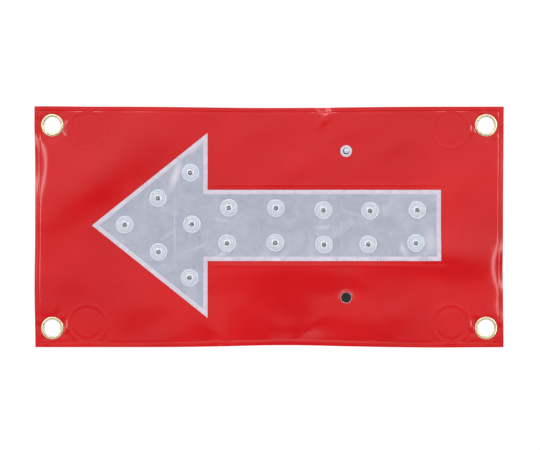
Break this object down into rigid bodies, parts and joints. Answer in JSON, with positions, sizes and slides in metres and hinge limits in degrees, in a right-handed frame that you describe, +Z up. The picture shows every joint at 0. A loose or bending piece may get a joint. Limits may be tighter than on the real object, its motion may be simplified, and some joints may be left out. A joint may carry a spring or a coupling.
{
  "type": "led arrow sign sheet",
  "caption": "Flexible red vinyl sign sheet with a reflective arrow, clear lamp buttons, corner eyelets, sewn-in magnets, light sensor, push button and slim battery case.",
  "frame": {"origin": "centre of the four eyelets' pattern, on the weld plane between the front and rear vinyl sheets", "axes": "+X to the right and +Z up as the sheet hangs, seen from its shown face, which looks along -Y; the arrow points to -X"},
  "size_m": [0.6, 0.0245, 0.31],
  "materials": {
    "red_vinyl": "glossy coated vinyl with a fine woven scrim",
    "prismatic_film": "clear-topped prismatic reflective film",
    "backing_sheet": "matt white sheet",
    "eyelet_brass": "bright pressed brass",
    "magnet_black": "dark sintered ferrite",
    "white_plastic": "moulded, satin gloss",
    "clear_plastic": "clear moulded plastic, polished",
    "bulb_resin": "clear cast resin",
    "board_green": "solder-masked board",
    "lead_black": "matt insulated lead",
    "case_black": "fine spark-eroded moulding",
    "gasket_rubber": "soft matt",
    "screw_steel": "zinc plated",
    "cell_wrap": "printed film wrap with no marking",
    "contact_steel": "nickel plated spring steel",
    "button_black": "satin rubber",
    "switch_black": "moulded",
    "chip_black": "moulded"
  },
  "bodies": {
    "root": {"arrow_backing": "backing_sheet", "arrow_panel": "prismatic_film", "battery_cells": "cell_wrap", "board_parts": "chip_black", "button_spring": "contact_steel", "button_switch": "switch_black", "case_cover": "case_black", "case_gasket": "gasket_rubber", "case_leads": "lead_black", "case_screws": "screw_steel", "case_tray": "case_black", "cell_contacts": "contact_steel", "cell_springs": "contact_steel", "control_board": "board_green", "eyelet_washers": "eyelet_brass", "eyelets": "eyelet_brass", "front_sheet": "red_vinyl", "lamp_boards": "board_green", "lamp_bulb_01": "bulb_resin", "lamp_bulb_02": "bulb_resin", "lamp_bulb_03": "bulb_resin", "lamp_bulb_04": "bulb_resin", "lamp_bulb_05": "bulb_resin", "lamp_bulb_06": "bulb_resin", "lamp_bulb_07": "bulb_resin", "lamp_bulb_08": "bulb_resin", "lamp_bulb_09": "bulb_resin", "lamp_bulb_10": "bulb_resin", "lamp_bulb_11": "bulb_resin", "lamp_bulb_12": "bulb_resin", "lamp_bulb_13": "bulb_resin", "lamp_bulb_14": "bulb_resin", "lamp_bulb_15": "bulb_resin", "lamp_bulb_16": "bulb_resin", "lamp_leads": "lead_black", "lamp_lens_01": "clear_plastic", "lamp_lens_02": "clear_plastic", "lamp_lens_03": "clear_plastic", "lamp_lens_04": "clear_plastic", "lamp_lens_05": "clear_plastic", "lamp_lens_06": "clear_plastic", "lamp_lens_07": "clear_plastic", "lamp_lens_08": "clear_plastic", "lamp_lens_09": "clear_plastic", "lamp_lens_10": "clear_plastic", "lamp_lens_11": "clear_plastic", "lamp_lens_12": "clear_plastic", "lamp_lens_13": "clear_plastic", "lamp_lens_14": "clear_plastic", "lamp_lens_15": "clear_plastic", "lamp_lens_16": "clear_plastic", "lamp_retainers": "white_plastic", "light_sensor": "clear_plastic", "magnets": "magnet_black", "rear_sheet": "red_vinyl", "sensor_board": "board_green", "sensor_ring": "white_plastic", "sensor_window": "clear_plastic"},
    "button": {"push_button": "button_black"},
    "door": {"battery_door": "case_black"}
  },
  "joints": [
    {"name": "button_press", "type": "slide", "parent": "root", "child": "button", "axis": [0, 1, 0], "range_m": [0, 0.0015], "stiffness_N_per_m": 600, "springref_m": -0.002, "deforming": ["button_spring"]},
    {"name": "door_slide", "type": "slide", "parent": "root", "child": "door", "axis": [0, 0, -1], "range_m": [0, 0.105]}
  ]
}
